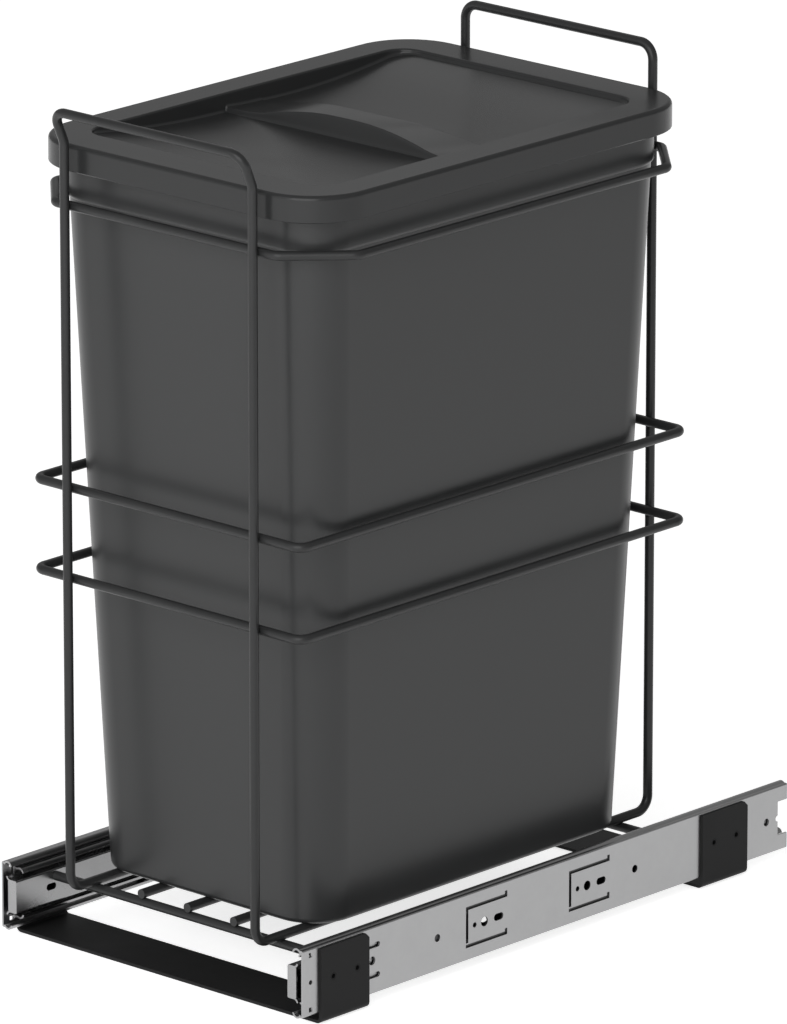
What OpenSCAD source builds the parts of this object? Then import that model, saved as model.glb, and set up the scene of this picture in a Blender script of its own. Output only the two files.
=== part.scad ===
// Pull-out bin unit for a base cabinet: a lidded bin stands in a welded wire cage, which rides on
// a pair of full-extension ball slides tied together by two cross straps.
// Millimetres. +Z is up, -Y is the front that is pulled, X runs across the unit.
// The origin is the middle of the footprint, on the cabinet floor.

/* [Slides] */
// Length of a closed slide
slide_length = 450; // [400:10:600]
// Height of the outer rail
slide_height = 45; // [43:0.5:55]
// Thickness of a closed slide, from outer face to inner face
slide_thickness = 12.7; // [12.6:0.1:15]
// Distance over the outer faces of the two outer rails
slide_spread = 256.8; // [240:0.2:400]
// Sheet thickness of the rails
rail_sheet = 1.2; // [1:0.05:1.3]
// Sheet thickness of the ball cages
cage_sheet = 0.4; // [0.3:0.05:0.5]
// Diameter of the bearing balls
ball_d = 4.76; // [4:0.02:4.8]
// Radial clearance of a ball in its race
race_clearance = 0.1; // [0.05:0.01:0.15]
// Running gap between the webs of neighbouring slide members
web_gap = 0.18; // [0.12:0.01:0.2]
// Balls in one row of a cage
ball_count = 8; // [4:1:12]
// Set-back of the middle rail's front end
middle_setback = 8; // [4:1:20]
// Set-back of the middle rail's rear end
middle_rear_setback = 12; // [4:1:30]
// Height of the crease below the top of the bead on the outer rail
crease_drop = 1; // [0.5:0.1:1.5]
// Outer bend radius of the rail corners
rail_corner_r = 1; // [0.5:0.1:1.2]
// Width of the inner rail's folded front tab
tab_width = 6; // [4:0.5:7]
// Height of the inner rail's folded front tab
tab_height = 19.5; // [12:0.5:20]

/* [Slide piercings] */
// Diameter of the screw holes in the outer rail
screw_hole_d = 5; // [3:0.1:6]
// Distance of the first screw hole from the front end
first_screw_y = 121; // [110:1:130]
// Distance of the second screw hole from the front end
second_screw_y = 304; // [295:1:330]
// Distance of the last screw hole from the rear end
last_screw_y = 20; // [16:1:30]
// Distance of the first spring tongue from the front end
tongue_y = 147; // [135:1:160]
// Distance from the first spring tongue to the second
tongue_pitch = 95.2; // [70:0.2:110]
// Length of a spring tongue
tongue_length = 38; // [30:1:45]
// Height of a spring tongue
tongue_height = 24.5; // [18:0.5:28]
// Width of the slit round a spring tongue
slit_width = 2.2; // [1:0.1:2.6]
// Depth of the notch in the rear end
notch_depth = 9; // [5:0.5:12]
// Height of the notch in the rear end
notch_height = 22.4; // [15:0.2:28]
// Height of the windows in the ball cages and the middle rail
window_height = 17; // [8:0.5:20]
// Length left between the windows and at their ends
window_land = 9; // [6:0.5:20]
// Diameter of the access hole in the inner rail
access_hole_d = 13; // [8:0.5:16]
// Distance of the access hole behind the front edge of the first tongue
access_hole_offset = 30.5; // [20:0.5:45]

/* [Straps] */
// Width of a strap, front to back
strap_width = 43; // [34:1:60]
// Sheet thickness of a strap
strap_sheet = 2; // [1.5:0.1:3]
// Height of the upturned ends
strap_height = 48.5; // [40:0.5:60]
// Inside bend radius of the upturned ends
strap_bend = 2; // [1:0.1:3.5]
// Gap between the strap's floor and the slides
strap_clearance = 4; // [3.6:0.1:10]
// Set-back of the front strap from the slides' front ends
front_strap_y = 14.5; // [11:0.5:30]
// Set-back of the rear strap from the slides' rear ends
rear_strap_y = 40.5; // [26:0.5:60]
// Size of the cut corner on the upturned ends
strap_corner = 3; // [1:0.5:8]
// Rivet shank diameter
rivet_d = 4.2; // [2.5:0.1:4.6]
// Rivet head diameter
rivet_head_d = 5.6; // [5.2:0.1:7]
// Bore of the hollow rivet
rivet_bore_d = 3.2; // [1:0.1:3.6]
// Distance between the two rivets of an upturned end
rivet_pitch = 21.4; // [12:0.2:26]
// Clearance round a rivet
rivet_clearance = 0.05; // [0.02:0.01:0.1]

/* [Wire cage] */
// Wire diameter
wire_d = 6; // [4:0.1:7]
// Distance of the side frames inward from the bin's sides
upright_inset = 33; // [24:1:50]
// Bend radius of the main loop, at the middle of the wire
loop_bend = 10; // [7:0.5:14]
// Forward lean of the front handle
handle_lean = 9; // [4:0.5:12]
// Height of the leaning part of the front handle
handle_rise = 21.5; // [16:0.5:30]
// Finger room between the lid and the handles
handle_room = 22; // [18:0.5:40]
// Reach of the front handle ahead of the slides
handle_reach = 1.4; // [0:0.1:10]
// Bend radius of the rings, at the middle of the wire
ring_bend = 7; // [5:0.5:12]
// Height of the lower ring
lower_ring_z = 240; // [150:1:280]
// Distance from the lower ring to the upper ring
ring_pitch = 58; // [20:1:100]
// Gap between the upper ring and the bin's sides
ring_side_gap = 3.7; // [2:0.1:10]
// Gap between the top ring and the bin's sides
top_ring_gap = 12.5; // [8:0.5:20]
// Gap between the rings and the bin's front and back
ring_end_gap = 11; // [10:0.5:20]
// Rise of the top ring's middle above the collar's lower edge
top_ring_rise = 2; // [-10:0.5:8]
// Gap between the top ring's cut corners and the bin's round corners
ring_corner_gap = 5.5; // [3:0.1:8]
// Height of the cross wires above the middle of the slides
cross_wire_rise = 6; // [-4:0.5:6]
// Distance of a cross wire from the uprights
cross_wire_inset = 25; // [18:0.5:60]
// Number of base wires between the side frames
base_wire_count = 3; // [1:1:5]
// Gap at a welded crossing
weld_gap = 0.05; // [0.02:0.01:0.1]

/* [Bin] */
// Height of the bin
bin_height = 468.5; // [420:0.5:500]
// Width of the bin's sides just under the collar
bin_width = 223.5; // [190:0.5:235]
// Depth of the bin just under the collar
bin_depth = 321.5; // [300:0.5:340]
// Inward slope of each side, from the collar to the base
bin_draft = 15.7; // [6:0.1:22]
// Corner radius of the sides
bin_corner_r = 30; // [26:1:33]
// Radius of the edge round the base
bin_foot_r = 4; // [3.6:0.2:8]
// Wall thickness
bin_wall = 2.5; // [2:0.1:3.5]
// Outward step of the collar
collar_step = 1.1; // [0.9:0.1:3]
// Height of the collar
collar_height = 37; // [24:1:45]
// Corner radius of the collar
collar_corner_r = 29.5; // [27:0.5:34]
// Inside radius of the collar's lower edge
collar_inner_r = 0.5; // [0.3:0.1:0.8]
// Gap where the bin stands on the wires and the lid on the bin
seat_gap = 0.1; // [0.05:0.01:0.3]

/* [Lid] */
// Gap between the lid's skirt and the collar
lid_gap = 8.65; // [6:0.05:10]
// Wall thickness
lid_wall = 2.5; // [2:0.1:2.8]
// Height of the skirt
lid_skirt = 17; // [12:0.5:22]
// Radius of the top edge
lid_edge_r = 3; // [2.9:0.1:5]
// Width of the flat rim at the sides
rim_side = 24; // [20:0.5:30]
// Width of the flat rim at the front and back
rim_end = 29; // [22:0.5:36]
// Corner radius of the dished panel
dish_corner_r = 16; // [8:0.5:30]
// Radius of the edge round the dished panel
dish_edge_r = 1.5; // [0.8:0.1:1.6]
// Depth of the front scoop where it meets the grip
front_scoop_depth = 12.2; // [9:0.1:16]
// Depth of the front scoop at its front edge
front_scoop_edge = 1.9; // [1.7:0.1:4]
// Depth of the rear scoop at its lowest line
rear_scoop_depth = 11.6; // [8:0.1:16]
// Depth of the rear scoop at its rear edge
rear_scoop_edge = 3.1; // [1.7:0.1:6]
// Distance of the rear scoop's lowest line behind the lid's middle
rear_scoop_y = 40; // [30:1:60]
// Distance of the grip's foot ahead of the lid's middle
grip_offset = 16.7; // [5:0.1:40]
// Rise of the grip above the rim
grip_rise = 0.8; // [0:0.1:4]
// Distance from the grip's middle to where its arch sinks into the scoop
grip_reach = 86; // [60:1:110]
// Backward lean of the grip's front face
grip_lean = 3; // [2:0.5:10]
// Width of the grip's back, front to rear
grip_width = 29; // [16:1:36]
// Fall of the grip's back over its width
grip_fall = 2.4; // [0.5:0.1:4]
// Length of the slope behind the grip
grip_slope = 14; // [10:1:60]
// Depth of the arch's ends below the front scoop
grip_sink = 0.8; // [0.5:0.1:2]
// Thickness of the locating rib under the rim
rib_sheet = 2; // [1.5:0.1:3]
// Height of the locating rib under the rim
rib_height = 6; // [3:0.5:10]
// Clearance of the locating rib in the bin's mouth
rib_clearance = 0.8; // [0.4:0.1:1.5]

/* [Hidden] */
$fn = 48;

// Extra length that takes a cutter clear of what it cuts
over = 1;
// Overlap of neighbouring stretches of one bent or rolled form
form_overlap = 0.1;
// Extra diameter of the coated wire in a bend, and how far a straight runs into the bend
bend_swell = 0.06;
bend_overlap = 0.3;

// The finishes, as they look in daylight
zinc = "#b9bbbb";
blackened = "#4f5051";
black_paint = "#26272a";
wire_coat = "#3c3e41";
ball_steel = "#d8dadb";
bin_plastic = "#45474a";
lid_plastic = "#4b4d4e";

// Lengthwise places: the front handle is the foremost point and the slides' rear ends the last
slide_front = -(slide_length - handle_reach) / 2;
slide_rear = slide_front + slide_length;
slide_z = strap_sheet + strap_clearance + slide_height / 2;

// Cross-section of a slide, in (u, z): u runs inboard from the outer face, z up from mid-height
race_r = ball_d / 2 + race_clearance;
race_back_r = race_r + rail_sheet;
outer_cage_u = rail_sheet + web_gap;
middle_web_u = outer_cage_u + cage_sheet + web_gap;
inner_cage_u = middle_web_u + rail_sheet + web_gap;
groove_start = 213;
lip_angle = 9;
bead_end = 160;
lip_gap = 0.3;
outer_race = [
    middle_web_u - race_back_r * cos(groove_start),
    slide_height / 2 - race_back_r
];
inner_race_u = slide_thickness - rail_sheet - lip_gap - race_back_r;
race_tilt = asin((inner_race_u - outer_race.x) / (race_r + race_back_r));
inner_race = outer_race + (race_r + race_back_r) * [sin(race_tilt), -cos(race_tilt)];
inner_tip_angle = 192;
inner_half_height = inner_race.y - race_r;

// Ball cages: long enough to fill what the rails still share when the slide is right out
cage_length = slide_length / 2 - (middle_setback + middle_rear_setback) - 5;
outer_cage_y = slide_length / 4 + (slide_length / 2 - middle_rear_setback - cage_length) / 2;
inner_cage_y = slide_length / 4 + (slide_length / 2 + middle_setback - cage_length) / 2;
ball_pitch = cage_length / ball_count;
pocket_r = ball_d / 2 + race_clearance;
cage_reach = 0.8;

// Wire cage, from the front handle backwards and from the cross wires upwards
wire_pitch = wire_d + weld_gap;
handle_y = slide_front - handle_reach + wire_d / 2;
upright_front = handle_y + handle_lean;
ring_front = upright_front + wire_pitch;
ring_depth = bin_depth + 2 * ring_end_gap + wire_d;
ring_rear = ring_front + ring_depth;
upright_rear = ring_rear + wire_pitch;
cage_middle = (ring_front + ring_rear) / 2;
cross_z = slide_z + cross_wire_rise;
run_z = cross_z + wire_pitch;
front_cross_y = upright_front + cross_wire_inset;
rear_cross_y = upright_rear - cross_wire_inset;
loop_width = bin_width - 2 * upright_inset;
base_pitch = loop_width / (base_wire_count + 1);

// Radius of an arc that rises by a height over half a chord
function arc_radius(half_chord, rise) = (pow(half_chord, 2) + pow(rise, 2)) / (2 * rise);

// Bin and lid, upwards from the base wires
bin_z = run_z + wire_d / 2 + seat_gap;
bin_top = bin_z + bin_height;
collar_z = bin_top - collar_height;
collar_w = bin_width + 2 * collar_step;
collar_d = bin_depth + 2 * collar_step;
collar_r = collar_corner_r;
lid_out = lid_gap + lid_wall;
lid_w = collar_w + 2 * lid_out;
lid_d = collar_d + 2 * lid_out;
lid_r = collar_r + lid_out;
lid_top = bin_top + seat_gap + lid_wall;
dish_w = lid_w - 2 * rim_side;
dish_d = lid_d - 2 * rim_end;
front_scoop_z = lid_top - front_scoop_depth;
rear_scoop_z = lid_top - rear_scoop_depth;
front_scoop_r = arc_radius(dish_d / 2 - grip_offset, front_scoop_depth - front_scoop_edge);
rear_scoop_r = arc_radius(dish_d / 2 - rear_scoop_y, rear_scoop_depth - rear_scoop_edge);
grip_z = lid_top + grip_rise;
grip_r = arc_radius(grip_reach, front_scoop_depth + grip_rise + grip_sink);
rib_inset = bin_wall + rib_clearance;

// Rings and handles follow the bin and the lid
function bin_inset(z) = bin_draft * (collar_z - z) / (collar_z - bin_z);
top_ring_z = collar_z + top_ring_rise;
upper_ring_z = lower_ring_z + ring_pitch;
ring_width = bin_width - 2 * bin_inset(upper_ring_z) + 2 * ring_side_gap + wire_d;
top_ring_width = bin_width + 2 * top_ring_gap + wire_d;
top_ring_corner = top_ring_gap + ring_end_gap + wire_d + 2 * bin_corner_r
    - sqrt(2) * (bin_corner_r + ring_corner_gap + wire_d / 2);
handle_z = lid_top + handle_room + wire_d / 2;

// Flat shape of a rectangle with round corners
module rounded_rect(w, d, r) {
    square([w - 2 * r, d], center = true);
    square([w, d - 2 * r], center = true);
    for (x = [-1, 1], y = [-1, 1])
        translate([x * (w / 2 - r), y * (d / 2 - r)]) circle(r);
}

// Extrudes a cross-section, drawn in (x, z), along Y
module along_y(from, length) {
    translate([0, from + length, 0]) rotate([90, 0, 0]) linear_extrude(length) children();
}

// Extrudes a cross-section, drawn in (y, z), along X about the middle plane
module along_x(length) {
    rotate([90, 0, 90]) linear_extrude(length, center = true) children();
}

// Draws a half section and its mirror image below mid-height
module both_halves() {
    children();
    mirror([0, 1]) children();
}

// Part of a flat ring between two angles, less than half a turn apart
module ring_part(centre, r_in, r_out, from, to) {
    far = 2 * r_out;
    middle = (from + to) / 2;
    translate(centre) intersection() {
        difference() {
            circle(r_out);
            circle(r_in);
        }
        polygon([
            [0, 0],
            far * [cos(from), sin(from)],
            far * [cos((from + middle) / 2), sin((from + middle) / 2)],
            far * [cos(middle), sin(middle)],
            far * [cos((middle + to) / 2), sin((middle + to) / 2)],
            far * [cos(to), sin(to)]
        ]);
    }
}

// Square corner less its round, with the corner at the origin and the sheet towards +x and -y
module corner_waste(r) {
    translate([0, -r]) difference() {
        translate([-over, 0]) square([r + over, r + over]);
        translate([r, 0]) circle(r);
    }
}

// Puts a slide member, drawn in (u, y, z), on the right (+1) or the left (-1)
module on_side(side) {
    translate([side * slide_spread / 2, slide_front, slide_z])
        mirror([side > 0 ? 1 : 0, 0, 0]) children();
}

// Places a hole or rivet that runs inboard from the outer face
module inboard(y, z) {
    translate([0, y, z]) rotate([0, 90, 0]) children();
}

// Round-ended slot through a web, seen along X, with its middle at the origin
module slot_cutter(length, width, depth) {
    translate([0, -(length - width) / 2, -width / 2]) cube([depth, length - width, width]);
    for (end = [-1, 1])
        inboard(end * (length - width) / 2, 0) cylinder(h = depth, d = width);
}

// Slides: outer rail, roll-formed with a bead that is the outer race
module outer_half() {
    shoulder_z = slide_height / 2 - crease_drop;
    difference() {
        union() {
            square([rail_sheet, shoulder_z]);
            translate([0, shoulder_z - rail_sheet]) square([outer_race.x, rail_sheet]);
            ring_part(outer_race, race_r, race_back_r, lip_angle, bead_end);
        }
        translate(outer_race) circle(race_r);
        translate([0, shoulder_z]) corner_waste(rail_corner_r);
    }
}

// Slit on three sides of a spring tongue, with hooked rear ends, and the piercings in the tongue
module tongue_cutter() {
    depth = rail_sheet + 2 * over;
    hook = 3;
    bridge = 2;
    hole_d = 3.4;
    big_hole_d = 6.2;
    oval_length = 8.5;
    oval_width = 4.6;
    for (z = [-1, 1]) {
        translate([0, 0, z * tongue_height / 2 - slit_width / 2])
            cube([depth, tongue_length, slit_width]);
        translate([0, tongue_length - slit_width, z * tongue_height / 2])
            cube([depth, slit_width, hook]);
    }
    translate([0, 0, bridge - tongue_height / 2])
        cube([depth, slit_width, tongue_height - bridge]);
    inboard(8, 0) cylinder(h = depth, d = hole_d);
    inboard(17, 0) cylinder(h = depth, d = big_hole_d);
    translate([0, 30, 0]) slot_cutter(oval_length, oval_width, depth);
}

module outer_rail() {
    depth = rail_sheet + 2 * over;
    dent = 3;
    dent_y = 7;
    dent_z = slide_height / 2 - 5;
    slot_y = front_strap_y + strap_width + 3;
    slot_length = 17;
    slot_width = 3.4;
    slot_z = 9.7;
    access_d = 5.6;
    half_hole_d = 4;
    difference() {
        along_y(0, slide_length) both_halves() outer_half();
        translate([-over, 0, 0]) {
            for (z = [-1, 1])
                translate([0, dent_y - dent / 2, z * dent_z - dent / 2]) cube([depth, dent, dent]);
            inboard(dent_y, 0) cylinder(h = depth, d = dent);
            for (z = [-1, 1])
                translate([0, slot_y, z * slot_z]) slot_cutter(slot_length, slot_width, depth);
            inboard(slot_y + 1.5, 0) cylinder(h = depth, d = access_d);
            for (y = [first_screw_y, second_screw_y, slide_length - last_screw_y])
                inboard(y, 0) cylinder(h = depth, d = screw_hole_d);
            for (k = [0, 1])
                translate([0, tongue_y + k * tongue_pitch, 0]) tongue_cutter();
            for (y = rivet_places())
                inboard(y, 0) cylinder(h = depth, d = rivet_d + 2 * rivet_clearance);
            translate([0, slide_length - notch_depth, -notch_height / 2])
                cube([depth, notch_depth + over, notch_height]);
            inboard(slide_length - notch_depth, 0) cylinder(h = depth, d = half_hole_d);
        }
    }
}

// Middle rail: a web and, above and below, a groove that rolls over into the inner race
module middle_half() {
    web_top = outer_race.y + race_back_r * sin(groove_start) + form_overlap;
    lap_angle = 3;
    translate([middle_web_u, 0]) square([rail_sheet, web_top]);
    ring_part(outer_race, race_r, race_back_r, groove_start, 270 + race_tilt);
    difference() {
        ring_part(inner_race, race_r, race_back_r, lip_angle, 90 + race_tilt + lap_angle);
        translate(outer_race) circle(race_r + form_overlap / 2);
    }
}

// Two long windows through the webs of a slide member
module window_cutter(from, length, web_u, sheet) {
    window_length = (length - 3 * window_land) / 2;
    for (k = [0, 1])
        translate([
            web_u - over,
            from + window_land + k * (window_length + window_land) + window_length / 2,
            0
        ])
            slot_cutter(window_length, window_height, sheet + 2 * over);
}

module middle_rail() {
    length = slide_length - middle_setback - middle_rear_setback;
    difference() {
        along_y(middle_setback, length) both_halves() middle_half();
        window_cutter(outer_cage_y, cage_length, middle_web_u, rail_sheet);
    }
}

// Inner rail: a channel whose flanges end in the lower half of the inner race
module inner_half() {
    difference() {
        union() {
            translate([slide_thickness - rail_sheet, 0]) square([rail_sheet, inner_half_height]);
            translate([inner_race.x, inner_half_height - rail_sheet])
                square([slide_thickness - inner_race.x, rail_sheet]);
            ring_part(inner_race, race_r, race_back_r, inner_tip_angle, 270);
        }
        translate([slide_thickness, inner_half_height])
            mirror([1, 0]) corner_waste(rail_corner_r);
    }
}

module inner_rail() {
    slot_y = 31;
    slot_length = 8.5;
    slot_width = 4.4;
    difference() {
        union() {
            along_y(0, slide_length) both_halves() inner_half();
            translate([slide_thickness - rail_sheet - tab_width, 0, -tab_height / 2])
                cube([tab_width + rail_sheet / 2, rail_sheet, tab_height]);
        }
        translate([slide_thickness - rail_sheet - over, slot_y, 0])
            slot_cutter(slot_length, slot_width, rail_sheet + 2 * over);
        translate([slide_thickness - rail_sheet - over, 0, 0])
            inboard(tongue_y + access_hole_offset, 0)
                cylinder(h = rail_sheet + 2 * over, d = access_hole_d);
    }
}

// Ball cage: a thin web with a pierced flange along each row of balls
module ball_cage(web_u, race, from) {
    flange = race.x + race_r + cage_reach - web_u;
    difference() {
        along_y(from, cage_length) both_halves() {
            translate([web_u, 0]) square([cage_sheet, race.y]);
            translate([web_u, race.y - cage_sheet / 2]) square([flange, cage_sheet]);
        }
        for (k = [0 : ball_count - 1], z = [-1, 1])
            translate([race.x, from + (k + 0.5) * ball_pitch, z * race.y])
                cylinder(h = cage_sheet + 2 * over, r = pocket_r, center = true);
        window_cutter(from, cage_length, web_u, cage_sheet);
    }
}

module ball_rows(race, from) {
    for (k = [0 : ball_count - 1], z = [-1, 1])
        translate([race.x, from + (k + 0.5) * ball_pitch, z * race.y]) sphere(d = ball_d);
}

module left_outer_rail() { color(zinc) on_side(-1) outer_rail(); }
module right_outer_rail() { color(zinc) on_side(1) outer_rail(); }
module left_middle_rail() { color(zinc) on_side(-1) middle_rail(); }
module right_middle_rail() { color(zinc) on_side(1) middle_rail(); }
module left_inner_rail() { color(zinc) on_side(-1) inner_rail(); }
module right_inner_rail() { color(zinc) on_side(1) inner_rail(); }
module left_outer_cage() { color(blackened) on_side(-1) ball_cage(outer_cage_u, outer_race, outer_cage_y); }
module right_outer_cage() { color(blackened) on_side(1) ball_cage(outer_cage_u, outer_race, outer_cage_y); }
module left_inner_cage() { color(blackened) on_side(-1) ball_cage(inner_cage_u, inner_race, inner_cage_y); }
module right_inner_cage() { color(blackened) on_side(1) ball_cage(inner_cage_u, inner_race, inner_cage_y); }
module left_outer_balls() { color(ball_steel) on_side(-1) ball_rows(outer_race, outer_cage_y); }
module right_outer_balls() { color(ball_steel) on_side(1) ball_rows(outer_race, outer_cage_y); }
module left_inner_balls() { color(ball_steel) on_side(-1) ball_rows(inner_race, inner_cage_y); }
module right_inner_balls() { color(ball_steel) on_side(1) ball_rows(inner_race, inner_cage_y); }

// Straps: folded U, riveted to the outer rails through its upturned ends
function strap_places() = [front_strap_y, slide_length - rear_strap_y - strap_width];
function rivet_places() = [
    for (y = strap_places(), k = [-1, 1]) y + strap_width / 2 + k * rivet_pitch / 2
];

module strap_half() {
    outer = slide_spread / 2 + strap_sheet;
    bend = strap_bend + strap_sheet;
    square([outer - bend, strap_sheet]);
    translate([outer - strap_sheet, bend]) square([strap_sheet, strap_height - bend]);
    ring_part([outer - bend, bend], strap_bend, bend, 270, 360);
}

module strap(from) {
    outer = slide_spread / 2 + strap_sheet;
    color(black_paint) difference() {
        along_y(slide_front + from, strap_width) {
            strap_half();
            mirror([1, 0]) strap_half();
        }
        for (side = [-1, 1]) {
            translate([side * outer, slide_front + from + strap_width, strap_height])
                rotate([45, 0, 0])
                    cube([4 * strap_sheet, strap_corner * sqrt(2), 4 * strap_corner], center = true);
            for (k = [-1, 1])
                on_side(side)
                    inboard(from + strap_width / 2 + k * rivet_pitch / 2, 0)
                        translate([0, 0, -strap_sheet]) rivet_shape(rivet_clearance, over);
        }
    }
}

// Flush rivet along +Z from its head, grown all round by a clearance
module rivet_shape(grow, beyond) {
    head_depth = (rivet_head_d - rivet_d) / 2;
    translate([0, 0, -beyond])
        cylinder(h = strap_sheet + rail_sheet + 2 * beyond, d = rivet_d + 2 * grow);
    cylinder(h = head_depth, d1 = rivet_head_d + 2 * grow, d2 = rivet_d + 2 * grow);
}

module strap_rivets() {
    bore_depth = strap_sheet;
    color(black_paint)
        for (side = [-1, 1], y = rivet_places())
            on_side(side) inboard(y, 0) translate([0, 0, -strap_sheet])
                difference() {
                    rivet_shape(0, 0);
                    translate([0, 0, -over]) cylinder(h = bore_depth + over, d = rivet_bore_d);
                }
}

module front_strap() { strap(strap_places()[0]); }
module rear_strap() { strap(strap_places()[1]); }

// Wire cage: straight rods and round bends along the corners of a path
function unit(v) = v / norm(v);
function turn_at(a, b, c) = acos(unit(b - a) * unit(c - b));
function trim_at(a, b, c, r) = r * tan(turn_at(a, b, c) / 2);

module rod(a, b) {
    v = b - a;
    translate(a) rotate([0, acos(v.z / norm(v)), atan2(v.y, v.x)]) cylinder(h = norm(v), d = wire_d);
}

module bend(a, b, c, r) {
    turn = turn_at(a, b, c);
    along = unit(b - a);
    inward = unit(unit(c - b) - along);
    centre = b + inward * r / cos(turn / 2);
    start = unit(b - along * trim_at(a, b, c, r) - centre);
    normal = cross(start, along);
    multmatrix([
        [start.x, along.x, normal.x, centre.x],
        [start.y, along.y, normal.y, centre.y],
        [start.z, along.z, normal.z, centre.z],
        [0, 0, 0, 1]
    ])
        rotate_extrude(angle = turn) translate([r, 0]) circle(d = wire_d + bend_swell);
}

module closed_wire(points, r) {
    n = len(points);
    for (k = [0 : n - 1]) {
        before = points[(k + n - 1) % n];
        here = points[k];
        next = points[(k + 1) % n];
        after = points[(k + 2) % n];
        along = unit(next - here);
        bend(before, here, next, r);
        rod(
            here + along * (trim_at(before, here, next, r) - bend_overlap),
            next - along * (trim_at(here, next, after, r) - bend_overlap)
        );
    }
}

module main_loop() {
    x = loop_width / 2;
    lean_z = handle_z - handle_rise;
    color(wire_coat) closed_wire([
        [-x, upright_front, run_z],
        [-x, upright_front, lean_z],
        [-x, handle_y, handle_z],
        [x, handle_y, handle_z],
        [x, upright_front, lean_z],
        [x, upright_front, run_z],
        [x, upright_rear, run_z],
        [x, upright_rear, handle_z],
        [-x, upright_rear, handle_z],
        [-x, upright_rear, run_z]
    ], loop_bend);
}

module top_ring() {
    x = top_ring_width / 2;
    c = top_ring_corner;
    color(wire_coat) closed_wire([
        [x - c, ring_front, top_ring_z],
        [x, ring_front + c, top_ring_z],
        [x, ring_rear - c, top_ring_z],
        [x - c, ring_rear, top_ring_z],
        [c - x, ring_rear, top_ring_z],
        [-x, ring_rear - c, top_ring_z],
        [-x, ring_front + c, top_ring_z],
        [c - x, ring_front, top_ring_z]
    ], ring_bend);
}

module square_ring(z) {
    x = ring_width / 2;
    color(wire_coat) closed_wire([
        [x, ring_front, z],
        [x, ring_rear, z],
        [-x, ring_rear, z],
        [-x, ring_front, z]
    ], ring_bend);
}

module upper_ring() { square_ring(upper_ring_z); }
module lower_ring() { square_ring(lower_ring_z); }

// Cross wires end on the inner rails' webs
module cross_wire(y) {
    x = slide_spread / 2 - slide_thickness;
    color(wire_coat) rod([-x, y, cross_z], [x, y, cross_z]);
}

module front_cross_wire() { cross_wire(front_cross_y); }
module rear_cross_wire() { cross_wire(rear_cross_y); }

module base_wires() {
    color(wire_coat)
        for (k = [1 : base_wire_count]) {
            x = k * base_pitch - loop_width / 2;
            rod([x, front_cross_y - wire_d / 2, run_z], [x, rear_cross_y + wire_d / 2, run_z]);
        }
}

// Sweeps a section round a rectangle with round corners; its x starts at a corner's centre
module swept_edge(w, d, r) {
    for (k = [0 : 3]) {
        across = k % 2 == 0 ? w : d;
        along = k % 2 == 0 ? d : w;
        rotate(90 * k) translate([across / 2 - r, along / 2 - r, 0]) {
            rotate_extrude(angle = 90) children();
            rotate([90, 0, 0]) linear_extrude(along - 2 * r) children();
        }
    }
}

// Bin: drafted sides with a rolled foot, under a straight collar
module bin_sides(wall, top) {
    foot_r = bin_foot_r - wall;
    base = bin_z + wall;
    skin = 0.01;
    translate([0, cage_middle, 0]) hull() {
        for (a = [0 : 22.5 : 90]) {
            z = base + foot_r * (1 - cos(a));
            translate([0, 0, z]) bin_slice(bin_inset(z), wall + foot_r * (1 - sin(a)), skin);
        }
        translate([0, 0, top - skin]) bin_slice(bin_inset(top), wall, skin);
    }
}

// One level of the sides: the draft keeps the corner radius, and the wall and the foot take it in
module bin_slice(inset, within, thick) {
    r = bin_corner_r - within;
    x = bin_width / 2 - inset - bin_corner_r;
    y = bin_depth / 2 - inset - bin_corner_r;
    for (i = [-1, 1], j = [-1, 1])
        translate([i * x, j * y, 0]) cylinder(h = thick, r = r, $fn = 64);
}

module collar_section() {
    body_x = collar_r - collar_step;
    bend_r = bin_wall + collar_inner_r;
    translate([body_x - bin_wall, collar_z]) square([collar_step + bin_wall - bend_r, bin_wall]);
    ring_part([collar_r - bend_r, collar_z + bend_r], collar_inner_r, bend_r, 270, 360);
    translate([collar_r - bin_wall, collar_z + bend_r]) square([bin_wall, collar_height - bend_r]);
}

module bin() {
    color(bin_plastic) difference() {
        union() {
            bin_sides(0, collar_z + bin_wall);
            translate([0, cage_middle, 0]) swept_edge(collar_w, collar_d, collar_r) collar_section();
        }
        bin_sides(bin_wall, collar_z + 2 * bin_wall);
    }
}

// Lid: skirt and round edge swept round the outline, flat rim, dished panel and hollow grip
module edge_section() {
    skirt_z = lid_top - lid_skirt;
    shoulder = lid_edge_r - lid_wall;
    rib_x = lid_r - lid_out - rib_inset;
    translate([lid_r - lid_wall, skirt_z]) square([lid_wall, lid_skirt - lid_edge_r]);
    ring_part([lid_r - lid_edge_r, lid_top - lid_edge_r], shoulder, lid_edge_r, 0, 90);
    translate([rib_x - rib_sheet, lid_top - lid_wall])
        square([lid_r - lid_edge_r - rib_x + rib_sheet, lid_wall]);
    translate([rib_x - rib_sheet, lid_top - lid_wall - rib_height]) square([rib_sheet, rib_height]);
}

// Waste of the round edge between the rim and the dished panel
module dish_edge_waste() {
    translate([dish_corner_r - over, lid_top - dish_edge_r]) difference() {
        square([over + dish_edge_r, dish_edge_r + over]);
        translate([over + dish_edge_r, 0]) circle(dish_edge_r);
    }
}

// Space over one scoop: inside a wide drum that lies across the lid
module scoop_drum(y, z, r, grow) {
    translate([0, y, z + r])
        rotate([0, 90, 0]) cylinder(h = lid_w, r = r + grow, center = true, $fn = 720);
}

// Place of the grip's leaning front face at a height
function grip_face(z) = grip_lean * (z - front_scoop_z) / (grip_z - front_scoop_z) - grip_offset;

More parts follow.
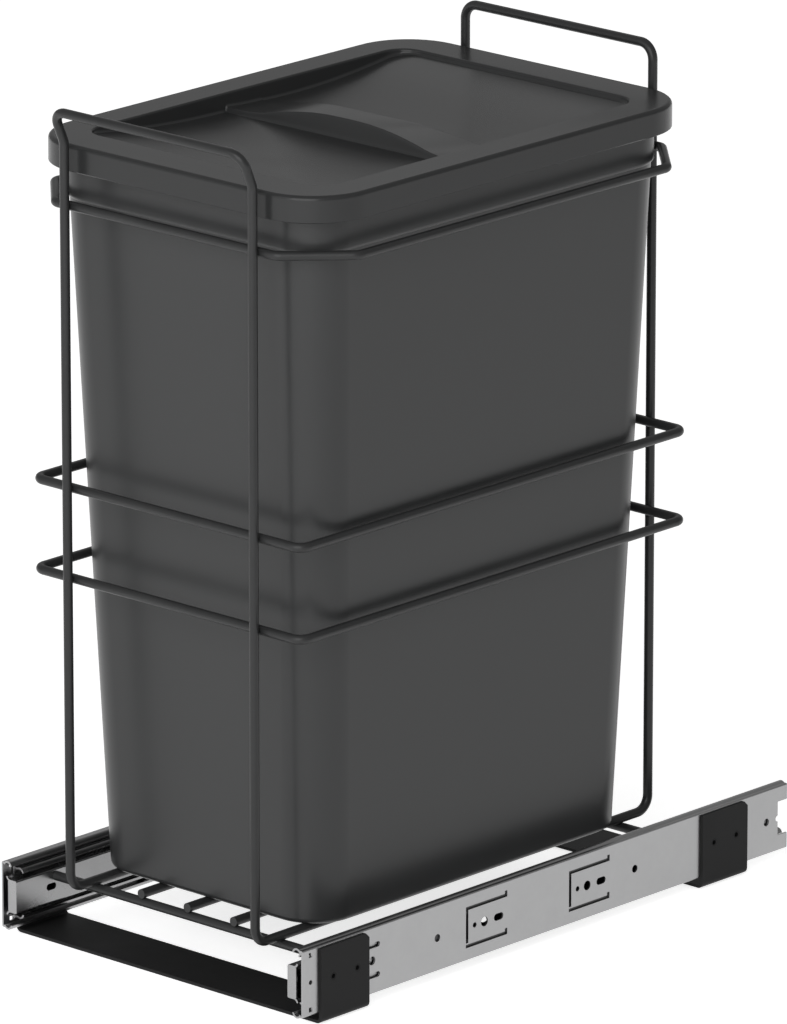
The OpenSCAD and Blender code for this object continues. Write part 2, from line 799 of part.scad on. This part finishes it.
// Space over both scoops, which meet inside the grip, widened all round by a margin
module dish_space(grow) {
    low = front_scoop_z - lid_wall - over;
    height = lid_top + over - low;
    split = grip_lean / 3 - grip_offset;
    intersection() {
        translate([0, 0, low]) linear_extrude(height)
            rounded_rect(dish_w + 2 * grow, dish_d + 2 * grow, dish_corner_r + grow);
        union() {
            intersection() {
                scoop_drum(-grip_offset, front_scoop_z, front_scoop_r, grow);
                translate([-lid_w / 2, -lid_d, low]) cube([lid_w, lid_d + split + grow, height]);
            }
            intersection() {
                scoop_drum(rear_scoop_y, rear_scoop_z, rear_scoop_r, grow);
                translate([-lid_w / 2, split, low]) cube([lid_w, lid_d, height]);
            }
        }
    }
}

// Arched grip across the dish, shrunk all round by a margin
module grip_shape(shrink) {
    low = front_scoop_z - lid_wall - over;
    high = grip_z - shrink;
    crest = grip_face(high) + shrink;
    back = crest + grip_width - 2 * shrink;
    tail = back + grip_slope - 2 * shrink;
    intersection() {
        along_x(lid_w) polygon([
            [grip_face(low) + shrink, low],
            [crest, high],
            [back, high - grip_fall],
            [tail, low]
        ]);
        translate([0, 0, grip_z - grip_r]) rotate([90, 0, 0])
            cylinder(h = lid_d, r = grip_r - shrink, center = true, $fn = 720);
    }
}

module lid() {
    rib_outline = 2 * (lid_out + rib_inset + rib_sheet / 2);
    color(lid_plastic) translate([0, cage_middle, 0]) difference() {
        union() {
            swept_edge(lid_w, lid_d, lid_r) edge_section();
            translate([0, 0, lid_top - lid_wall]) linear_extrude(lid_wall) difference() {
                rounded_rect(lid_w - rib_outline, lid_d - rib_outline, lid_r - rib_outline / 2);
                rounded_rect(dish_w, dish_d, dish_corner_r);
            }
            difference() {
                intersection() {
                    dish_space(lid_wall);
                    translate([-lid_w / 2, -lid_d / 2, 0]) cube([lid_w, lid_d, lid_top - lid_wall / 2]);
                }
                dish_space(0);
            }
            intersection() {
                grip_shape(0);
                dish_space(lid_wall / 2);
            }
        }
        grip_shape(lid_wall);
        swept_edge(dish_w, dish_d, dish_corner_r) dish_edge_waste();
    }
}

front_strap();
rear_strap();
left_outer_rail();
right_outer_rail();
strap_rivets();
left_outer_cage();
right_outer_cage();
left_outer_balls();
right_outer_balls();
left_middle_rail();
right_middle_rail();
left_inner_cage();
right_inner_cage();
left_inner_balls();
right_inner_balls();
left_inner_rail();
right_inner_rail();
main_loop();
top_ring();
upper_ring();
lower_ring();
front_cross_wire();
rear_cross_wire();
base_wires();
bin();
lid();
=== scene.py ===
import math

import bmesh
import bpy
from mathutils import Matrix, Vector


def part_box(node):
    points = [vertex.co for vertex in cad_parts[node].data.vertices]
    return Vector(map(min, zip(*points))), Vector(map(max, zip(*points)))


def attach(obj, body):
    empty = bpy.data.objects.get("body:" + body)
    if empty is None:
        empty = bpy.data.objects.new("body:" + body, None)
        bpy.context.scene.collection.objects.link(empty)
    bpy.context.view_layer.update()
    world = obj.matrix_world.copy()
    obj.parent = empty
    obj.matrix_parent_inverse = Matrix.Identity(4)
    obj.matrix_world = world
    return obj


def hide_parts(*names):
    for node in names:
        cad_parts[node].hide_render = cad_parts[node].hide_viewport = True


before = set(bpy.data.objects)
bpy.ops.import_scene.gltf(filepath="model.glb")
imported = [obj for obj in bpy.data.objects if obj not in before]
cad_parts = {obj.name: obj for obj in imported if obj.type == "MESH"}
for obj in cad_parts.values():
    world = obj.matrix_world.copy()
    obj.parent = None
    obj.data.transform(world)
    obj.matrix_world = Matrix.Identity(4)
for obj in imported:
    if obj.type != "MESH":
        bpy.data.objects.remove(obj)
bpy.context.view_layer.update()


# Cross straps: two strips of 2 mm steel, folded up at both ends and painted satin black.
# They lie on the cabinet floor and tie the two slides together, with the front strap just
# behind the slides' front ends.
def variation_group():
    """Two patterns that finishes share: a fine grain, and a broad mottle from 0 to 1."""
    group = bpy.data.node_groups.new("surface_variation", "ShaderNodeTree")
    sockets = group.interface
    sockets.new_socket("Grain Scale", in_out="INPUT", socket_type="NodeSocketFloat")
    sockets.new_socket("Mottle Scale", in_out="INPUT", socket_type="NodeSocketFloat")
    sockets.new_socket("Grain", in_out="OUTPUT", socket_type="NodeSocketFloat")
    sockets.new_socket("Mottle", in_out="OUTPUT", socket_type="NodeSocketFloat")
    inside = group.nodes
    link = group.links.new
    start = inside.new("NodeGroupInput")
    end = inside.new("NodeGroupOutput")
    place = inside.new("ShaderNodeTexCoord")
    grain = inside.new("ShaderNodeTexNoise")
    grain.inputs["Detail"].default_value = 2.0
    mottle = inside.new("ShaderNodeTexNoise")
    mottle.inputs["Detail"].default_value = 4.0
    mottle.inputs["Roughness"].default_value = 0.6
    spread = inside.new("ShaderNodeMapRange")
    spread.inputs["From Min"].default_value = 0.3
    spread.inputs["From Max"].default_value = 0.7
    link(place.outputs["Object"], grain.inputs["Vector"])
    link(place.outputs["Object"], mottle.inputs["Vector"])
    link(start.outputs["Grain Scale"], grain.inputs["Scale"])
    link(start.outputs["Mottle Scale"], mottle.inputs["Scale"])
    link(mottle.outputs["Fac"], spread.inputs["Value"])
    link(grain.outputs["Fac"], end.inputs["Grain"])
    link(spread.outputs["Result"], end.inputs["Mottle"])
    return group


surface_variation = variation_group()


def drifting_finish(name, dark, light, rough, mottle_scale, bump_height, metallic=0.0, specular=0.5):
    """A finish whose colour and gloss drift gently, with a bump that still needs its pattern."""
    material = bpy.data.materials.new(name)
    material.use_nodes = True
    tree = material.node_tree
    link = tree.links.new
    shader = tree.nodes["Principled BSDF"]
    shader.inputs["Metallic"].default_value = metallic
    shader.inputs["Specular IOR Level"].default_value = specular
    drift = tree.nodes.new("ShaderNodeGroup")
    drift.name = "drift"
    drift.node_tree = surface_variation
    drift.inputs["Mottle Scale"].default_value = mottle_scale
    colour = tree.nodes.new("ShaderNodeMix")
    colour.data_type = "RGBA"
    colour.inputs["A"].default_value = (*dark, 1.0)
    colour.inputs["B"].default_value = (*light, 1.0)
    gloss = tree.nodes.new("ShaderNodeMapRange")
    gloss.inputs["To Min"].default_value = rough[0]
    gloss.inputs["To Max"].default_value = rough[1]
    bump = tree.nodes.new("ShaderNodeBump")
    bump.name = "bump"
    bump.inputs["Distance"].default_value = bump_height
    bump.inputs["Strength"].default_value = 1.0
    link(drift.outputs["Mottle"], colour.inputs["Factor"])
    link(drift.outputs["Mottle"], gloss.inputs["Value"])
    link(colour.outputs["Result"], shader.inputs["Base Color"])
    link(gloss.outputs["Result"], shader.inputs["Roughness"])
    link(bump.outputs["Normal"], shader.inputs["Normal"])
    return material


def grained_finish(name, grain_scale, **look):
    """A drifting finish whose skin has a fine grain."""
    material = drifting_finish(name, **look)
    tree = material.node_tree
    drift = tree.nodes["drift"]
    drift.inputs["Grain Scale"].default_value = grain_scale
    tree.links.new(drift.outputs["Grain"], tree.nodes["bump"].inputs["Height"])
    return material


def dress(names, material):
    """Gives CAD nodes their finish."""
    for name in names:
        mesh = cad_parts[name].data
        mesh.materials.clear()
        mesh.materials.append(material)


strap_paint = grained_finish(
    "strap_paint",
    dark=(0.0205, 0.0205, 0.0208),
    light=(0.0235, 0.0235, 0.0238),
    rough=(0.42, 0.52),
    grain_scale=900.0,
    mottle_scale=25.0,
    bump_height=0.00002,
    specular=0.1,
)
dress(["front_strap", "rear_strap"], strap_paint)


# Outer rails: roll-formed from 1.2 mm strip, zinc plated, and pierced with screw holes and two
# sprung tongues. The straps' upturned ends are riveted to their outer faces.
def rolled_group():
    """Faint lines along the slides, as rolling leaves them, many times as long as they are wide."""
    lengthening = 50.0
    group = bpy.data.node_groups.new("rolled_streaks", "ShaderNodeTree")
    sockets = group.interface
    sockets.new_socket("Streak Scale", in_out="INPUT", socket_type="NodeSocketFloat")
    sockets.new_socket("Streaks", in_out="OUTPUT", socket_type="NodeSocketFloat")
    inside = group.nodes
    link = group.links.new
    start = inside.new("NodeGroupInput")
    end = inside.new("NodeGroupOutput")
    place = inside.new("ShaderNodeTexCoord")
    stretch = inside.new("ShaderNodeMapping")
    stretch.inputs["Scale"].default_value = (1.0, 1.0 / lengthening, 1.0)
    streaks = inside.new("ShaderNodeTexNoise")
    streaks.inputs["Detail"].default_value = 3.0
    link(place.outputs["Object"], stretch.inputs["Vector"])
    link(stretch.outputs["Vector"], streaks.inputs["Vector"])
    link(start.outputs["Streak Scale"], streaks.inputs["Scale"])
    link(streaks.outputs["Fac"], end.inputs["Streaks"])
    return group


rolled_streaks = rolled_group()


def rolled_finish(name, streak_scale, **look):
    """A drifting metal finish on rolled strip, with its lines along the length."""
    material = drifting_finish(name, mottle_scale=60.0, metallic=1.0, **look)
    tree = material.node_tree
    lines = tree.nodes.new("ShaderNodeGroup")
    lines.node_tree = rolled_streaks
    lines.inputs["Streak Scale"].default_value = streak_scale
    tree.links.new(lines.outputs["Streaks"], tree.nodes["bump"].inputs["Height"])
    return material


rail_zinc = rolled_finish(
    "rail_zinc",
    dark=(0.349, 0.349, 0.352),
    light=(0.379, 0.379, 0.382),
    rough=(0.28, 0.36),
    streak_scale=1400.0,
    bump_height=0.000012,
)
dress(["left_outer_rail", "right_outer_rail"], rail_zinc)


# Strap rivets: flush hollow steel rivets, blackened, through each upturned end and the rail's web.
# Their bores show as dark dots in the black paint.
rivet_black = grained_finish(
    "rivet_black",
    dark=(0.011, 0.011, 0.0112),
    light=(0.015, 0.015, 0.0153),
    rough=(0.35, 0.5),
    grain_scale=1500.0,
    mottle_scale=120.0,
    bump_height=0.00001,
    specular=0.1,
)
dress(["strap_rivets"], rivet_black)


# Ball cages and balls: thin pressed strips that keep the bearing balls apart in the two races of
# each slide. The cages' steel is painted nearly black as painted shade for the slides' dark insides,
# and the balls are polished.
cage_steel = rolled_finish(
    "cage_steel",
    dark=(0.07, 0.07, 0.0715),
    light=(0.09, 0.09, 0.0915),
    rough=(0.36, 0.46),
    streak_scale=1800.0,
    bump_height=0.00001,
)
ball_steel = grained_finish(
    "ball_steel",
    dark=(0.62, 0.62, 0.63),
    light=(0.68, 0.68, 0.69),
    rough=(0.08, 0.14),
    grain_scale=3000.0,
    mottle_scale=300.0,
    bump_height=0.000002,
    metallic=1.0,
)
for side in ("left", "right"):
    dress([side + "_outer_cage", side + "_inner_cage"], cage_steel)
    dress([side + "_outer_balls", side + "_inner_balls"], ball_steel)


# Middle and inner rails: the same plated strip as the outer rails. The middle rail carries half of
# each ball race on both faces, and the inner rail is the one that the wire cage is welded to.
slide_zinc = rolled_finish(
    "slide_zinc",
    dark=(0.32, 0.32, 0.323),
    light=(0.36, 0.36, 0.363),
    rough=(0.2, 0.3),
    streak_scale=1600.0,
    bump_height=0.00001,
)
for side in ("left", "right"):
    dress([side + "_middle_rail", side + "_inner_rail"], slide_zinc)


# Wire cage: 6 mm steel wire, bent, welded at the crossings and powder coated dark grey. The main
# loop makes the base runs, the uprights and both handles, and the rings keep the bin upright.
wire_coat = grained_finish(
    "wire_coat",
    dark=(0.027, 0.0275, 0.028),
    light=(0.033, 0.0335, 0.034),
    rough=(0.30, 0.38),
    grain_scale=1100.0,
    mottle_scale=30.0,
    bump_height=0.00002,
    specular=0.3,
)
dress(["main_loop", "top_ring", "upper_ring", "lower_ring"], wire_coat)
dress(["front_cross_wire", "rear_cross_wire", "base_wires"], wire_coat)


# Bin: injection moulded in anthracite plastic, with drafted sides, a small foot radius and a collar
# that stands 1.1 mm proud. It is drawn up level by level from its base, hollowed to a 2.5 mm wall,
# and stands loose on the base wires.
bin_plastic = grained_finish(
    "bin_plastic",
    dark=(0.0350, 0.0358, 0.0363),
    light=(0.0378, 0.0386, 0.0391),
    rough=(0.30, 0.36),
    grain_scale=1400.0,
    mottle_scale=12.0,
    bump_height=0.00001,
    specular=0.36,
)
bin_low, bin_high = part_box("bin")
bin_base, bin_top = bin_low.z, bin_high.z
# Middle of the bin and the lid along the slides, 0.25 mm behind that of their nodes
cage_middle = -0.03265
plastic_wall = 0.0025
bin_corner = 0.030
bin_draft = 0.0157
foot_round = 0.004
collar_height = 0.037
collar_base = bin_top - collar_height
collar_step = 0.0011
collar_round = 0.003
collar_corner = 0.0295
mouth_round = 0.0006
corner_cuts = 16
bin_outline = (
    bin_high.x - bin_low.x - 2.0 * collar_step,
    bin_high.y - bin_low.y - 2.0 * collar_step,
    bin_corner,
)


def grown(outline, by):
    """A rounded outline (width, depth, corner radius) moved outwards all round."""
    width, depth, corner = outline
    return (width + 2.0 * by, depth + 2.0 * by, corner + by)


def carry(x, y, outline, target):
    """Takes a place on one rounded outline to the matching place on another."""
    across, along = outline[0] / 2.0 - outline[2], outline[1] / 2.0 - outline[2]
    new_across, new_along = target[0] / 2.0 - target[2], target[1] / 2.0 - target[2]
    past_x, past_y = max(abs(x) - across, 0.0), max(abs(y) - along, 0.0)
    reach = math.hypot(past_x, past_y)
    new_x = min(abs(x), across) * new_across / across + target[2] * past_x / reach
    new_y = min(abs(y), along) * new_along / along + target[2] * past_y / reach
    return math.copysign(new_x, x), math.copysign(new_y, y)


def draw_up(piece, here, levels):
    """Extrudes what is selected through a row of (outline, height at a place on the first outline)."""
    first = here
    for outline, height in levels:
        bpy.ops.mesh.extrude_region_move()
        shell = bmesh.from_edit_mesh(piece.data)
        for point in shell.verts:
            if point.select:
                base = carry(point.co.x, point.co.y, here, first)
                point.co = (*carry(*base, first, outline), height(*base))
        bmesh.update_edit_mesh(piece.data)
        here = outline


def level_at(z):
    """A height that is the same all round an outline."""
    return lambda x, y: z


def apply_modifier(piece, kind, **settings):
    """Adds a modifier to the active piece and applies it."""
    modifier = piece.modifiers.new(kind.lower(), kind)
    for name, value in settings.items():
        setattr(modifier, name, value)
    bpy.ops.object.modifier_apply(modifier=modifier.name)


def settle(piece):
    """Brings a finished piece's place into its mesh and shades it smooth between its edges."""
    smooth_up_to = math.radians(35.0)
    bpy.ops.object.transform_apply(location=True, rotation=True, scale=True)
    bpy.ops.object.shade_smooth_by_angle(angle=smooth_up_to)
    apply_modifier(piece, "WEIGHTED_NORMAL", keep_sharp=True)


def side_outline(z, within):
    """Outline of the drafted sides at a height, taken in by the foot's round."""
    drawn_in = bin_draft * (collar_base - z) / (collar_base - bin_base)
    width, depth, corner = bin_outline
    return grown((width - 2.0 * drawn_in, depth - 2.0 * drawn_in, corner), -within)


def collar_outline(out):
    """Outline of the collar where it has stepped out by this much."""
    width, depth, corner = bin_outline
    corner += (collar_corner - bin_corner) * out / collar_step
    return (width + 2.0 * out, depth + 2.0 * out, corner)


mouth_outline = collar_outline(collar_step)
bin_levels = []
for degrees in (15.0, 30.0, 45.0, 60.0, 75.0, 90.0):
    turn = math.radians(degrees)
    z = bin_base + foot_round * (1.0 - math.cos(turn))
    bin_levels.append((side_outline(z, foot_round * (1.0 - math.sin(turn))), level_at(z)))
for part in (0.25, 0.5, 0.75):
    z = bin_base + foot_round + part * (collar_base - bin_base - foot_round)
    bin_levels.append((side_outline(z, 0.0), level_at(z)))
step_start = math.asin(1.0 - collar_step / collar_round)
for part in (0.0, 0.25, 0.5, 0.75, 1.0):
    turn = step_start + part * (math.pi / 2.0 - step_start)
    out = collar_step - collar_round * (1.0 - math.sin(turn))
    z = collar_base + collar_round * (1.0 - math.cos(turn))
    bin_levels.append((collar_outline(out), level_at(z)))
bin_levels.append((mouth_outline, level_at(bin_top)))

foot_outline = side_outline(bin_base, foot_round)
bpy.ops.object.select_all(action="DESELECT")
bpy.ops.mesh.primitive_plane_add(size=1.0, location=(0.0, cage_middle, 0.0))
bin_shell = bpy.context.object
bin_shell.name = "bin_shell"
bpy.ops.object.mode_set(mode="EDIT")
bpy.ops.transform.resize(value=(*foot_outline[:2], 1.0), center_override=(0.0, cage_middle, 0.0))
bpy.ops.transform.translate(value=(0.0, 0.0, bin_base))
bpy.ops.mesh.select_mode(type="VERT")
bpy.ops.mesh.bevel(offset=foot_outline[2], segments=corner_cuts, affect="VERTICES")
bpy.ops.mesh.select_all(action="SELECT")
bpy.ops.mesh.select_mode(type="FACE")
draw_up(bin_shell, foot_outline, bin_levels)
bpy.ops.mesh.delete(type="ONLY_FACE")
bpy.ops.mesh.select_all(action="SELECT")
bpy.ops.mesh.normals_make_consistent(inside=False)
bpy.ops.object.mode_set(mode="OBJECT")
apply_modifier(bin_shell, "SOLIDIFY", thickness=plastic_wall, offset=-1.0, use_even_offset=True)
apply_modifier(
    bin_shell,
    "BEVEL",
    width=mouth_round,
    segments=2,
    limit_method="ANGLE",
    angle_limit=math.radians(50.0),
)
settle(bin_shell)
bin_shell.data.materials.append(bin_plastic)
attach(bin_shell, "bin")
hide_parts("bin")


# Lid: moulded in the same plastic, a little glossier, and loose on the bin's mouth. Its colour is
# painted a little darker than the bin's, as painted shade on its top and in its scoops. One closed
# sheet makes the skirt, the flat rim, the two scoops and the arched hollow grip between them, and a
# rib below locates it in the mouth.
lid_plastic = grained_finish(
    "lid_plastic",
    dark=(0.0310, 0.0317, 0.0321),
    light=(0.0335, 0.0342, 0.0346),
    rough=(0.22, 0.27),
    grain_scale=1400.0,
    mottle_scale=14.0,
    bump_height=0.000005,
    specular=0.27,
)
lid_gap = 0.00865
lid_skirt = 0.017
lid_edge = 0.003
hem_round = 0.0005
rib_sheet, rib_height, rib_clearance = 0.002, 0.006, 0.0008
rim_side, rim_end = 0.024, 0.029
dish_corner = 0.016
dish_edge = 0.0015
floor_round = 0.002
# Each scoop: depth at its lowest line and at its outer edge, and that line's place from the lid's middle
front_depth, front_edge, front_line = 0.0122, 0.0019, -0.0167
rear_depth, rear_edge, rear_line = 0.0116, 0.0031, 0.040
# The grip: rise over the rim, half its length, how far its ends sink, and its section from front to rear
grip_rise, grip_reach, grip_sink = 0.0008, 0.086, 0.0008
grip_lean, grip_back, grip_fall, grip_slope = 0.003, 0.029, 0.0024, 0.014
edge_blend, back_blend, floor_blend = 0.0016, 0.004, 0.003

lid_outline = grown(mouth_outline, lid_gap + plastic_wall)
rib_outline = grown(mouth_outline, -plastic_wall - rib_clearance)
dish_outline = (lid_outline[0] - 2.0 * rim_side, lid_outline[1] - 2.0 * rim_end, dish_corner)
panel_outline = grown(dish_outline, -floor_round)
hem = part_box("lid")[0].z
lid_top = hem + lid_skirt
lid_under = lid_top - plastic_wall
front_floor = lid_top - front_depth
rear_floor = lid_top - rear_depth
grip_top = lid_top + grip_rise


def arc_radius(half_chord, rise):
    """Radius of an arc, from half its chord and its rise."""
    return (half_chord ** 2 + rise ** 2) / (2.0 * rise)


front_curve = arc_radius(dish_outline[1] / 2.0 + front_line, front_depth - front_edge)
rear_curve = arc_radius(dish_outline[1] / 2.0 - rear_line, rear_depth - rear_edge)
grip_arch = arc_radius(grip_reach, front_depth + grip_rise + grip_sink)


def soft_lower(a, b, blend):
    """The lower of two heights, rounded over where they cross."""
    share = max(blend - abs(a - b), 0.0) / blend
    return min(a, b) - share * share * blend / 4.0


def soft_higher(a, b, blend):
    """The higher of two heights, filled in where they cross."""
    return -soft_lower(-a, -b, blend)


def lid_floor(x, y):
    """Height of the dished panel at a place measured from the lid's middle."""
    front = front_floor + front_curve - math.sqrt(front_curve ** 2 - (y - front_line) ** 2)
    rear = rear_floor + rear_curve - math.sqrt(rear_curve ** 2 - (y - rear_line) ** 2)
    rise = grip_top - front_floor
    crest = front_line + grip_lean
    face = front_floor + rise * (y - front_line) / grip_lean
    back = grip_top - grip_fall * (y - crest) / grip_back
    tail_drop = (rise - grip_fall + plastic_wall) * (y - crest - grip_back) / grip_slope
    tail = grip_top - grip_fall - tail_drop
    arch = grip_top - grip_arch + math.sqrt(grip_arch ** 2 - x ** 2)
    grip = soft_lower(soft_lower(back, tail, back_blend), arch, edge_blend)
    behind = soft_higher(rear, grip, floor_blend)
    if y >= crest + grip_back:
        return behind
    return soft_higher(front, soft_lower(behind, face, edge_blend), floor_blend)


# The panel's rows stand closest over the grip's steep face
face_start, face_end, tail_end = -0.0195, -0.0105, 0.034
row_places = (-panel_outline[1] / 2.0, face_start, face_end, tail_end, panel_outline[1] / 2.0)
row_counts = (60, 45, 45, 50)
column_count = 80
panel_rows = [row_places[0]]
for start, stop, count in zip(row_places, row_places[1:], row_counts):
    panel_rows += [start + (stop - start) * (k + 1) / count for k in range(count)]
bpy.ops.object.select_all(action="DESELECT")
bpy.ops.mesh.primitive_grid_add(
    x_subdivisions=column_count,
    y_subdivisions=sum(row_counts),
    size=1.0,
    location=(0.0, cage_middle, 0.0),
)
lid_sheet = bpy.context.object
lid_sheet.name = "lid_sheet"
# The grid's square corners are drawn in to the panel's round ones
for point in lid_sheet.data.vertices:
    x = point.co.x * panel_outline[0]
    y = panel_rows[round((point.co.y + 0.5) * sum(row_counts))]
    past_x = abs(x) - (panel_outline[0] / 2.0 - panel_outline[2])
    past_y = abs(y) - (panel_outline[1] / 2.0 - panel_outline[2])
    if past_x > 0.0 and past_y > 0.0:
        pull = 1.0 - max(past_x, past_y) / math.hypot(past_x, past_y)
        x -= math.copysign(past_x * pull, x)
        y -= math.copysign(past_y * pull, y)
    point.co = (x, y, lid_floor(x, y))
panel_faces = len(lid_sheet.data.polygons)

# Share of a low wall round the panel that its round may take
low_wall_share = 0.8


def above_floor(share):
    """Heights up the round between the panel and the wall of the dish."""
    def height(x, y):
        floor = lid_floor(x, y)
        return floor + share * min(floor_round, low_wall_share * (lid_top - dish_edge - floor))
    return height


def below_floor(share):
    """Heights of the same round on the lid's underside."""
    def height(x, y):
        floor = lid_floor(x, y)
        room = low_wall_share * (lid_top - floor)
        return floor - plastic_wall + share * min(floor_round + plastic_wall, room)
    return height


lid_levels = []
for degrees in (30.0, 60.0, 90.0):
    turn = math.radians(degrees)
    out = floor_round * math.sin(turn)
    lid_levels.append((grown(panel_outline, out), above_floor(1.0 - math.cos(turn))))
for degrees in (0.0, 22.5, 45.0, 67.5, 90.0):
    turn = math.radians(degrees)
    out = dish_edge * (1.0 - math.cos(turn))
    lid_levels.append((grown(dish_outline, out), level_at(lid_top - dish_edge * (1.0 - math.sin(turn)))))
for degrees in (90.0, 75.0, 60.0, 45.0, 30.0, 15.0, 0.0):
    turn = math.radians(degrees)
    out = -lid_edge * (1.0 - math.cos(turn))
    lid_levels.append((grown(lid_outline, out), level_at(lid_top - lid_edge * (1.0 - math.sin(turn)))))
lid_levels += [
    (lid_outline, level_at(hem + hem_round)),
    (grown(lid_outline, -hem_round), level_at(hem)),
    (grown(lid_outline, hem_round - plastic_wall), level_at(hem)),
    (grown(lid_outline, -plastic_wall), level_at(hem + hem_round)),
    (grown(lid_outline, -plastic_wall), level_at(lid_under)),
    (rib_outline, level_at(lid_under)),
    (rib_outline, level_at(lid_under - rib_height)),
    (grown(rib_outline, -rib_sheet), level_at(lid_under - rib_height)),
    (grown(rib_outline, -rib_sheet), level_at(lid_under)),
    (grown(dish_outline, plastic_wall), level_at(lid_under)),
]
for degrees in (90.0, 60.0, 30.0, 0.0):
    turn = math.radians(degrees)
    out = (floor_round + plastic_wall) * math.sin(turn)
    lid_levels.append((grown(panel_outline, out), below_floor(1.0 - math.cos(turn))))

bpy.ops.object.mode_set(mode="EDIT")
bpy.ops.mesh.select_mode(type="EDGE")
bpy.ops.mesh.select_all(action="DESELECT")
bpy.ops.mesh.select_non_manifold()
draw_up(lid_sheet, panel_outline, lid_levels)
bpy.ops.mesh.select_mode(type="FACE")
bpy.ops.mesh.select_all(action="DESELECT")
bpy.ops.object.mode_set(mode="OBJECT")
# The panel's faces come first in the mesh, and a copy of them one wall lower closes the underside
for face in lid_sheet.data.polygons:
    face.select = face.index < panel_faces
bpy.ops.object.mode_set(mode="EDIT")
bpy.ops.mesh.duplicate_move(TRANSFORM_OT_translate={"value": (0.0, 0.0, -plastic_wall)})
bpy.ops.mesh.select_all(action="SELECT")
bpy.ops.mesh.remove_doubles(threshold=0.00001)
bpy.ops.mesh.normals_make_consistent(inside=False)
bpy.ops.object.mode_set(mode="OBJECT")
settle(lid_sheet)
lid_sheet.data.materials.append(lid_plastic)
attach(lid_sheet, "lid")
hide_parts("lid")


# Studio: a pale floor that the camera and the gloss see as white, broad softboxes at the front and
# towards the near corner, one high at the rear for the lid, and the camera at the photo's angle.
bpy.context.scene.view_settings.view_transform = "Standard"
image_long_side = 1024.0
sensor_width = 36.0
view_azimuth = math.radians(42.738)
view_elevation = math.radians(16.589)
view_distance = 6.769
view_target = Vector((-0.00241, -0.00153, 0.25308))
focal_pixels = 10859.0
outward = Vector((
    math.sin(view_azimuth) * math.cos(view_elevation),
    -math.cos(view_azimuth) * math.cos(view_elevation),
    math.sin(view_elevation),
))
lens = bpy.data.cameras.new("camera")
lens.sensor_width = sensor_width
lens.lens = focal_pixels * sensor_width / image_long_side
lens.clip_end = 50.0
camera = bpy.data.objects.new("camera", lens)
bpy.context.scene.collection.objects.link(camera)
camera.location = view_target + view_distance * outward
camera.rotation_euler = (-outward).to_track_quat("-Z", "Y").to_euler()
bpy.context.scene.camera = camera


def show_white(tree):
    """The rays that see the floor as white: those of the camera, of gloss and of glass."""
    path = tree.nodes.new("ShaderNodeLightPath")
    camera_or_gloss = tree.nodes.new("ShaderNodeMath")
    camera_or_gloss.operation = "MAXIMUM"
    or_glass = tree.nodes.new("ShaderNodeMath")
    or_glass.operation = "MAXIMUM"
    tree.links.new(path.outputs["Is Camera Ray"], camera_or_gloss.inputs[0])
    tree.links.new(path.outputs["Is Glossy Ray"], camera_or_gloss.inputs[1])
    tree.links.new(camera_or_gloss.outputs["Value"], or_glass.inputs[0])
    tree.links.new(path.outputs["Is Transmission Ray"], or_glass.inputs[1])
    return or_glass.outputs["Value"]


floor_size = 80.0
floor_drop = 0.0004
bpy.ops.object.select_all(action="DESELECT")
bpy.ops.mesh.primitive_plane_add(size=floor_size, location=(0.0, 0.0, -floor_drop))
floor = bpy.context.object
floor.name = "floor"
floor_white = bpy.data.materials.new("floor_white")
floor_white.use_nodes = True
tree = floor_white.node_tree
matt = tree.nodes["Principled BSDF"]
matt.inputs["Base Color"].default_value = (0.8, 0.8, 0.8, 1.0)
matt.inputs["Roughness"].default_value = 0.9
glow = tree.nodes.new("ShaderNodeEmission")
glow.inputs["Strength"].default_value = 0.745
seen = tree.nodes.new("ShaderNodeAddShader")
which = tree.nodes.new("ShaderNodeMixShader")
tree.links.new(matt.outputs["BSDF"], seen.inputs[0])
tree.links.new(glow.outputs["Emission"], seen.inputs[1])
tree.links.new(show_white(tree), which.inputs["Fac"])
tree.links.new(matt.outputs["BSDF"], which.inputs[1])
tree.links.new(seen.outputs["Shader"], which.inputs[2])
tree.links.new(which.outputs["Shader"], tree.nodes["Material Output"].inputs["Surface"])
floor.data.materials.append(floor_white)

world = bpy.data.worlds.new("studio")
bpy.context.scene.world = world
world.use_nodes = True
sky = world.node_tree.nodes["Background"]
sky.inputs["Color"].default_value = (1.0, 1.0, 1.0, 1.0)
sky.inputs["Strength"].default_value = 0.32


def softbox(name, place, aim, width, height, power):
    """A rectangular lamp at a place, turned towards its aim, with its power in watts."""
    light = bpy.data.lights.new(name, "AREA")
    light.shape = "RECTANGLE"
    light.size = width
    light.size_y = height
    light.energy = power
    lamp = bpy.data.objects.new(name, light)
    bpy.context.scene.collection.objects.link(lamp)
    lamp.location = place
    lamp.rotation_euler = (Vector(aim) - Vector(place)).to_track_quat("-Z", "Y").to_euler()


low_aim, high_aim = (0.0, 0.0, 0.25), (0.0, 0.0, 0.4)
softbox("front_light", (-0.7, -2.8, 1.35), aim=low_aim, width=2.8, height=2.2, power=14.0)
softbox("corner_light", (1.25, -2.6, 1.5), aim=low_aim, width=2.4, height=2.4, power=49.0)
softbox("rear_light", (-1.5, 1.7, 2.1), aim=high_aim, width=1.2, height=1.2, power=1.8)
